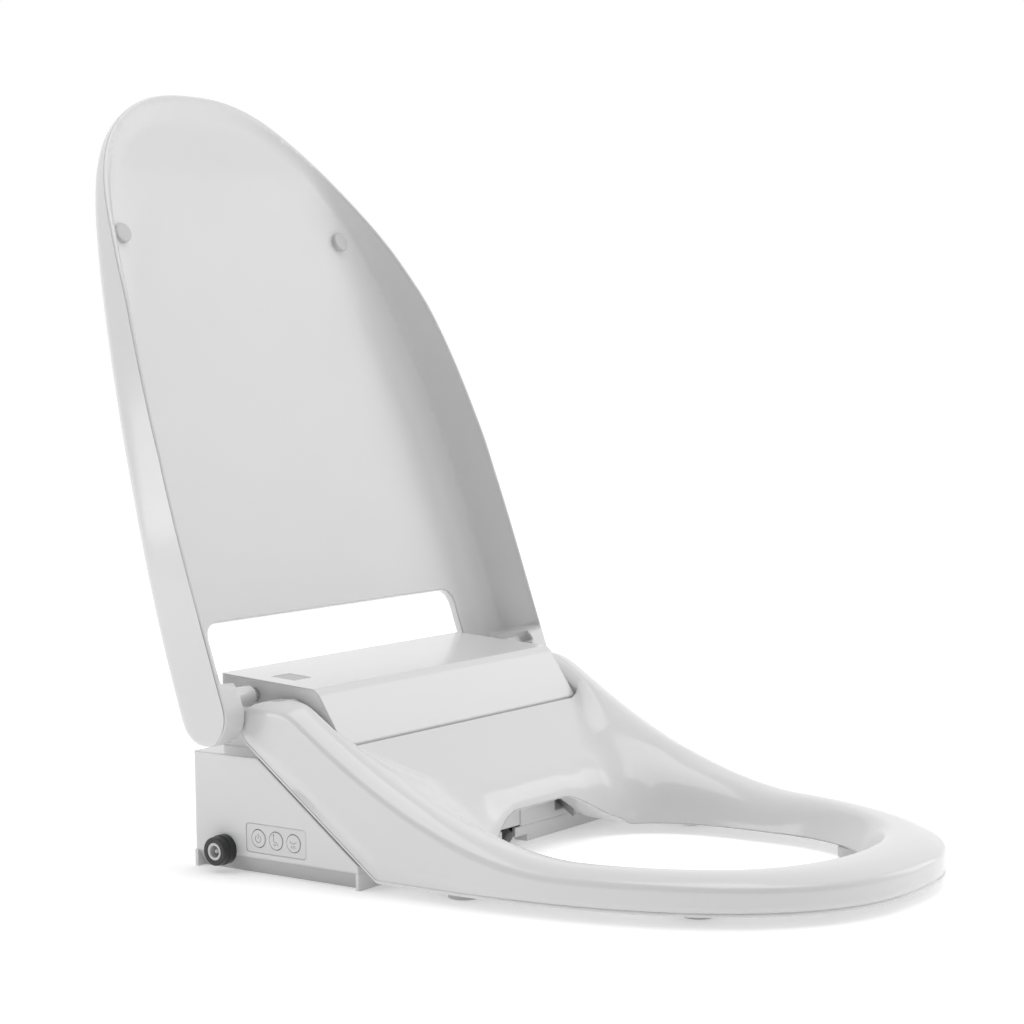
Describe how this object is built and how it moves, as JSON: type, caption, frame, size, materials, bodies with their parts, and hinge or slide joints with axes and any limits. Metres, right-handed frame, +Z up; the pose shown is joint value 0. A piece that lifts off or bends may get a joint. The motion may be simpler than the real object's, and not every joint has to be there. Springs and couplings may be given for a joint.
{
  "type": "electric bidet seat",
  "caption": "White electric bidet seat: rear water unit with side buttons and water inlet, hinged seat ring and hinged dished lid, shown with the lid open.",
  "frame": {"origin": "midway between the two fixing bolts, on the underside that rests on the bowl", "axes": "+Z up, -Y towards the user (front of the seat ring), +X across; the button panel faces -X"},
  "size_m": [0.404, 0.6717, 0.5953],
  "materials": {
    "white_gloss": "gloss",
    "white_satin": "satin",
    "bumper_grey": "matte",
    "black_plastic": "satin",
    "inlet_white": "satin",
    "smoked_window": "gloss",
    "dark_grey_plastic": "satin",
    "steel": "brushed",
    "board_green": "matte",
    "inner_grey": "matte",
    "hose_clear": "satin",
    "foil": "satin"
  },
  "bodies": {
    "base": {"button_panel": "white_satin", "sensor_window": "smoked_window", "nozzle_guide": "inner_grey", "mounting_plate": "inner_grey", "base_lower_shell": "white_satin", "base_upper_cover": "white_gloss", "plate_screws": "steel", "water_inlet_fitting": "inlet_white", "inlet_collar": "black_plastic", "inlet_check_valve": "dark_grey_plastic", "seat_hinge_pins": "steel", "soft_close_dampers": "dark_grey_plastic", "water_heater": "inner_grey", "inlet_solenoid_valve": "inner_grey", "pump": "inner_grey", "blower": "dark_grey_plastic", "dryer_duct": "inner_grey", "nozzle_motor": "steel", "control_board": "board_green", "sensor_board": "board_green", "power_board": "board_green", "button_board": "board_green", "cord_gland": "black_plastic", "hose_valve_to_pump": "hose_clear", "hose_pump_to_heater": "hose_clear", "hose_heater_to_nozzle": "hose_clear"},
    "seat": {"seat_top_shell": "white_gloss", "seat_bottom_cover": "white_gloss", "seat_heater": "foil", "seat_bumpers": "bumper_grey"},
    "lid": {"lid_shell": "white_gloss", "lid_inner_panel": "white_satin", "lid_bumpers": "bumper_grey", "lid_hinge_pins": "steel"},
    "power_button": {"button_power": "white_satin"},
    "rear_wash_button": {"button_rear_wash": "white_satin"},
    "front_wash_button": {"button_front_wash": "white_satin"},
    "nozzle": {"wash_nozzle": "dark_grey_plastic"},
    "nozzle_flap": {"nozzle_gate": "white_gloss"},
    "dryer_flap": {"dryer_gate": "white_gloss"}
  },
  "joints": [
    {"name": "lid_hinge", "type": "hinge", "parent": "base", "child": "lid", "pos_m": [0, 0.03, 0.127], "axis": [-1, 0, 0], "range_deg": [-123.8, 0]},
    {"name": "seat_hinge", "type": "hinge", "parent": "base", "child": "seat", "pos_m": [0, -0.002, 0.109], "axis": [-1, 0, 0], "range_deg": [0, 98]},
    {"name": "power_button_press", "type": "slide", "parent": "base", "child": "power_button", "axis": [1, 0, 0], "range_m": [0, 0.001], "stiffness_N_per_m": 800},
    {"name": "rear_wash_button_press", "type": "slide", "parent": "base", "child": "rear_wash_button", "axis": [1, 0, 0], "range_m": [0, 0.001], "stiffness_N_per_m": 800},
    {"name": "front_wash_button_press", "type": "slide", "parent": "base", "child": "front_wash_button", "axis": [1, 0, 0], "range_m": [0, 0.001], "stiffness_N_per_m": 800},
    {"name": "nozzle_slide", "type": "slide", "parent": "base", "child": "nozzle", "axis": [0, -0.866, -0.5], "range_m": [0, 0.07]},
    {"name": "nozzle_flap_hinge", "type": "hinge", "parent": "base", "child": "nozzle_flap", "pos_m": [0, -0.0935, 0.0304], "axis": [-1, 0, 0], "range_deg": [0, 75], "stiffness_Nm_per_rad": 0.001},
    {"name": "dryer_flap_hinge", "type": "hinge", "parent": "base", "child": "dryer_flap", "pos_m": [-0.041, -0.0935, 0.0304], "axis": [-1, 0, 0], "range_deg": [0, 75], "stiffness_Nm_per_rad": 0.001}
  ]
}
